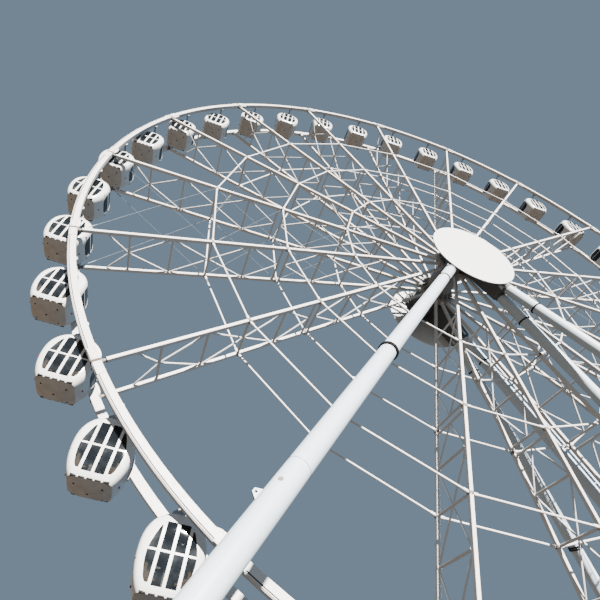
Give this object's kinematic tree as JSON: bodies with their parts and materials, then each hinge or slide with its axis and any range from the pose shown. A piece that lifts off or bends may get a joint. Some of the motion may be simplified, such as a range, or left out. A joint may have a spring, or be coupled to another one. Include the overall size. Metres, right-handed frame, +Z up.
{
  "type": "giant wheel, 1:2 scale model",
  "caption": "Transportable giant wheel on splayed tubular legs, with ladder spokes, twin rims and closed egg-shaped cabins that hang level, as a half-size model.",
  "frame": {"origin": "on the floor, under the middle of the axle", "axes": "+Z up, Y along the axle with the front towards -Y, +X to the right seen from the front"},
  "size_m": [24.341, 8.7134, 25.14],
  "materials": {
    "structure_white": "satin",
    "cabin_shell": "gloss",
    "disc_white": "satin",
    "head_grey": "satin",
    "leg_white": "satin",
    "base_grey": "matt"
  },
  "bodies": {
    "tower": {"front_head": "head_grey", "front_disc": "disc_white", "front_left_outer_leg": "leg_white", "front_left_inner_leg": "leg_white", "front_right_outer_leg": "leg_white", "front_right_inner_leg": "leg_white", "rear_head": "head_grey", "rear_disc": "disc_white", "rear_left_outer_leg": "leg_white", "rear_left_inner_leg": "leg_white", "rear_right_outer_leg": "leg_white", "rear_right_inner_leg": "leg_white", "left_base": "base_grey", "right_base": "base_grey", "boarding_platform": "base_grey"},
    "wheel": {"front_rim": "structure_white", "rear_rim": "structure_white", "wheel_hub": "structure_white", "spoke_sector_1": "structure_white", "spoke_sector_2": "structure_white", "spoke_sector_3": "structure_white", "spoke_sector_4": "structure_white", "spoke_sector_5": "structure_white", "spoke_sector_6": "structure_white"},
    "cabin_01": {"cabin_01": "cabin_shell"},
    "cabin_02": {"cabin_02": "cabin_shell"},
    "cabin_03": {"cabin_03": "cabin_shell"},
    "cabin_04": {"cabin_04": "cabin_shell"},
    "cabin_05": {"cabin_05": "cabin_shell"},
    "cabin_06": {"cabin_06": "cabin_shell"},
    "cabin_07": {"cabin_07": "cabin_shell"},
    "cabin_08": {"cabin_08": "cabin_shell"},
    "cabin_09": {"cabin_09": "cabin_shell"},
    "cabin_10": {"cabin_10": "cabin_shell"},
    "cabin_11": {"cabin_11": "cabin_shell"},
    "cabin_12": {"cabin_12": "cabin_shell"},
    "cabin_13": {"cabin_13": "cabin_shell"},
    "cabin_14": {"cabin_14": "cabin_shell"},
    "cabin_15": {"cabin_15": "cabin_shell"},
    "cabin_16": {"cabin_16": "cabin_shell"},
    "cabin_17": {"cabin_17": "cabin_shell"},
    "cabin_18": {"cabin_18": "cabin_shell"},
    "cabin_19": {"cabin_19": "cabin_shell"},
    "cabin_20": {"cabin_20": "cabin_shell"},
    "cabin_21": {"cabin_21": "cabin_shell"},
    "cabin_22": {"cabin_22": "cabin_shell"},
    "cabin_23": {"cabin_23": "cabin_shell"},
    "cabin_24": {"cabin_24": "cabin_shell"},
    "cabin_25": {"cabin_25": "cabin_shell"},
    "cabin_26": {"cabin_26": "cabin_shell"},
    "cabin_27": {"cabin_27": "cabin_shell"},
    "cabin_28": {"cabin_28": "cabin_shell"},
    "cabin_29": {"cabin_29": "cabin_shell"},
    "cabin_30": {"cabin_30": "cabin_shell"},
    "cabin_31": {"cabin_31": "cabin_shell"},
    "cabin_32": {"cabin_32": "cabin_shell"},
    "cabin_33": {"cabin_33": "cabin_shell"},
    "cabin_34": {"cabin_34": "cabin_shell"},
    "cabin_35": {"cabin_35": "cabin_shell"},
    "cabin_36": {"cabin_36": "cabin_shell"}
  },
  "joints": [
    {"name": "wheel_turn", "type": "hinge", "parent": "tower", "child": "wheel", "pos_m": [0, 0, 13.3], "axis": [0, 1, 0], "continuous": true},
    {"name": "cabin_01_hang", "type": "hinge", "parent": "wheel", "child": "cabin_01", "pos_m": [11.648, 0, 14.3191], "axis": [0, 1, 0], "continuous": true},
    {"name": "cabin_02_hang", "type": "hinge", "parent": "wheel", "child": "cabin_02", "pos_m": [11.2941, 0, 16.3262], "axis": [0, 1, 0], "continuous": true},
    {"name": "cabin_03_hang", "type": "hinge", "parent": "wheel", "child": "cabin_03", "pos_m": [10.597, 0, 18.2415], "axis": [0, 1, 0], "continuous": true},
    {"name": "cabin_04_hang", "type": "hinge", "parent": "wheel", "child": "cabin_04", "pos_m": [9.5779, 0, 20.0065], "axis": [0, 1, 0], "continuous": true},
    {"name": "cabin_05_hang", "type": "hinge", "parent": "wheel", "child": "cabin_05", "pos_m": [8.2678, 0, 21.5678], "axis": [0, 1, 0], "continuous": true},
    {"name": "cabin_06_hang", "type": "hinge", "parent": "wheel", "child": "cabin_06", "pos_m": [6.7065, 0, 22.8779], "axis": [0, 1, 0], "continuous": true},
    {"name": "cabin_07_hang", "type": "hinge", "parent": "wheel", "child": "cabin_07", "pos_m": [4.9415, 0, 23.897], "axis": [0, 1, 0], "continuous": true},
    {"name": "cabin_08_hang", "type": "hinge", "parent": "wheel", "child": "cabin_08", "pos_m": [3.0262, 0, 24.5941], "axis": [0, 1, 0], "continuous": true},
    {"name": "cabin_09_hang", "type": "hinge", "parent": "wheel", "child": "cabin_09", "pos_m": [1.0191, 0, 24.948], "axis": [0, 1, 0], "continuous": true},
    {"name": "cabin_10_hang", "type": "hinge", "parent": "wheel", "child": "cabin_10", "pos_m": [-1.0191, 0, 24.948], "axis": [0, 1, 0], "continuous": true},
    {"name": "cabin_11_hang", "type": "hinge", "parent": "wheel", "child": "cabin_11", "pos_m": [-3.0262, 0, 24.5941], "axis": [0, 1, 0], "continuous": true},
    {"name": "cabin_12_hang", "type": "hinge", "parent": "wheel", "child": "cabin_12", "pos_m": [-4.9415, 0, 23.897], "axis": [0, 1, 0], "continuous": true},
    {"name": "cabin_13_hang", "type": "hinge", "parent": "wheel", "child": "cabin_13", "pos_m": [-6.7065, 0, 22.8779], "axis": [0, 1, 0], "continuous": true},
    {"name": "cabin_14_hang", "type": "hinge", "parent": "wheel", "child": "cabin_14", "pos_m": [-8.2678, 0, 21.5678], "axis": [0, 1, 0], "continuous": true},
    {"name": "cabin_15_hang", "type": "hinge", "parent": "wheel", "child": "cabin_15", "pos_m": [-9.5779, 0, 20.0065], "axis": [0, 1, 0], "continuous": true},
    {"name": "cabin_16_hang", "type": "hinge", "parent": "wheel", "child": "cabin_16", "pos_m": [-10.597, 0, 18.2415], "axis": [0, 1, 0], "continuous": true},
    {"name": "cabin_17_hang", "type": "hinge", "parent": "wheel", "child": "cabin_17", "pos_m": [-11.2941, 0, 16.3262], "axis": [0, 1, 0], "continuous": true},
    {"name": "cabin_18_hang", "type": "hinge", "parent": "wheel", "child": "cabin_18", "pos_m": [-11.648, 0, 14.3191], "axis": [0, 1, 0], "continuous": true},
    {"name": "cabin_19_hang", "type": "hinge", "parent": "wheel", "child": "cabin_19", "pos_m": [-11.648, 0, 12.2809], "axis": [0, 1, 0], "continuous": true},
    {"name": "cabin_20_hang", "type": "hinge", "parent": "wheel", "child": "cabin_20", "pos_m": [-11.2941, 0, 10.2738], "axis": [0, 1, 0], "continuous": true},
    {"name": "cabin_21_hang", "type": "hinge", "parent": "wheel", "child": "cabin_21", "pos_m": [-10.597, 0, 8.3585], "axis": [0, 1, 0], "continuous": true},
    {"name": "cabin_22_hang", "type": "hinge", "parent": "wheel", "child": "cabin_22", "pos_m": [-9.5779, 0, 6.5935], "axis": [0, 1, 0], "continuous": true},
    {"name": "cabin_23_hang", "type": "hinge", "parent": "wheel", "child": "cabin_23", "pos_m": [-8.2678, 0, 5.0322], "axis": [0, 1, 0], "continuous": true},
    {"name": "cabin_24_hang", "type": "hinge", "parent": "wheel", "child": "cabin_24", "pos_m": [-6.7065, 0, 3.7221], "axis": [0, 1, 0], "continuous": true},
    {"name": "cabin_25_hang", "type": "hinge", "parent": "wheel", "child": "cabin_25", "pos_m": [-4.9415, 0, 2.703], "axis": [0, 1, 0], "continuous": true},
    {"name": "cabin_26_hang", "type": "hinge", "parent": "wheel", "child": "cabin_26", "pos_m": [-3.0262, 0, 2.0059], "axis": [0, 1, 0], "continuous": true},
    {"name": "cabin_27_hang", "type": "hinge", "parent": "wheel", "child": "cabin_27", "pos_m": [-1.0191, 0, 1.652], "axis": [0, 1, 0], "continuous": true},
    {"name": "cabin_28_hang", "type": "hinge", "parent": "wheel", "child": "cabin_28", "pos_m": [1.0191, 0, 1.652], "axis": [0, 1, 0], "continuous": true},
    {"name": "cabin_29_hang", "type": "hinge", "parent": "wheel", "child": "cabin_29", "pos_m": [3.0262, 0, 2.0059], "axis": [0, 1, 0], "continuous": true},
    {"name": "cabin_30_hang", "type": "hinge", "parent": "wheel", "child": "cabin_30", "pos_m": [4.9415, 0, 2.703], "axis": [0, 1, 0], "continuous": true},
    {"name": "cabin_31_hang", "type": "hinge", "parent": "wheel", "child": "cabin_31", "pos_m": [6.7065, 0, 3.7221], "axis": [0, 1, 0], "continuous": true},
    {"name": "cabin_32_hang", "type": "hinge", "parent": "wheel", "child": "cabin_32", "pos_m": [8.2678, 0, 5.0322], "axis": [0, 1, 0], "continuous": true},
    {"name": "cabin_33_hang", "type": "hinge", "parent": "wheel", "child": "cabin_33", "pos_m": [9.5779, 0, 6.5935], "axis": [0, 1, 0], "continuous": true},
    {"name": "cabin_34_hang", "type": "hinge", "parent": "wheel", "child": "cabin_34", "pos_m": [10.597, 0, 8.3585], "axis": [0, 1, 0], "continuous": true},
    {"name": "cabin_35_hang", "type": "hinge", "parent": "wheel", "child": "cabin_35", "pos_m": [11.2941, 0, 10.2738], "axis": [0, 1, 0], "continuous": true},
    {"name": "cabin_36_hang", "type": "hinge", "parent": "wheel", "child": "cabin_36", "pos_m": [11.648, 0, 12.2809], "axis": [0, 1, 0], "continuous": true}
  ],
  "couplings": [
    {"joint": "cabin_01_hang", "follows": "wheel_turn", "ratio": -1},
    {"joint": "cabin_02_hang", "follows": "wheel_turn", "ratio": -1},
    {"joint": "cabin_03_hang", "follows": "wheel_turn", "ratio": -1},
    {"joint": "cabin_04_hang", "follows": "wheel_turn", "ratio": -1},
    {"joint": "cabin_05_hang", "follows": "wheel_turn", "ratio": -1},
    {"joint": "cabin_06_hang", "follows": "wheel_turn", "ratio": -1},
    {"joint": "cabin_07_hang", "follows": "wheel_turn", "ratio": -1},
    {"joint": "cabin_08_hang", "follows": "wheel_turn", "ratio": -1},
    {"joint": "cabin_09_hang", "follows": "wheel_turn", "ratio": -1},
    {"joint": "cabin_10_hang", "follows": "wheel_turn", "ratio": -1},
    {"joint": "cabin_11_hang", "follows": "wheel_turn", "ratio": -1},
    {"joint": "cabin_12_hang", "follows": "wheel_turn", "ratio": -1},
    {"joint": "cabin_13_hang", "follows": "wheel_turn", "ratio": -1},
    {"joint": "cabin_14_hang", "follows": "wheel_turn", "ratio": -1},
    {"joint": "cabin_15_hang", "follows": "wheel_turn", "ratio": -1},
    {"joint": "cabin_16_hang", "follows": "wheel_turn", "ratio": -1},
    {"joint": "cabin_17_hang", "follows": "wheel_turn", "ratio": -1},
    {"joint": "cabin_18_hang", "follows": "wheel_turn", "ratio": -1},
    {"joint": "cabin_19_hang", "follows": "wheel_turn", "ratio": -1},
    {"joint": "cabin_20_hang", "follows": "wheel_turn", "ratio": -1},
    {"joint": "cabin_21_hang", "follows": "wheel_turn", "ratio": -1},
    {"joint": "cabin_22_hang", "follows": "wheel_turn", "ratio": -1},
    {"joint": "cabin_23_hang", "follows": "wheel_turn", "ratio": -1},
    {"joint": "cabin_24_hang", "follows": "wheel_turn", "ratio": -1},
    {"joint": "cabin_25_hang", "follows": "wheel_turn", "ratio": -1},
    {"joint": "cabin_26_hang", "follows": "wheel_turn", "ratio": -1},
    {"joint": "cabin_27_hang", "follows": "wheel_turn", "ratio": -1},
    {"joint": "cabin_28_hang", "follows": "wheel_turn", "ratio": -1},
    {"joint": "cabin_29_hang", "follows": "wheel_turn", "ratio": -1},
    {"joint": "cabin_30_hang", "follows": "wheel_turn", "ratio": -1},
    {"joint": "cabin_31_hang", "follows": "wheel_turn", "ratio": -1},
    {"joint": "cabin_32_hang", "follows": "wheel_turn", "ratio": -1},
    {"joint": "cabin_33_hang", "follows": "wheel_turn", "ratio": -1},
    {"joint": "cabin_34_hang", "follows": "wheel_turn", "ratio": -1},
    {"joint": "cabin_35_hang", "follows": "wheel_turn", "ratio": -1},
    {"joint": "cabin_36_hang", "follows": "wheel_turn", "ratio": -1}
  ]
}
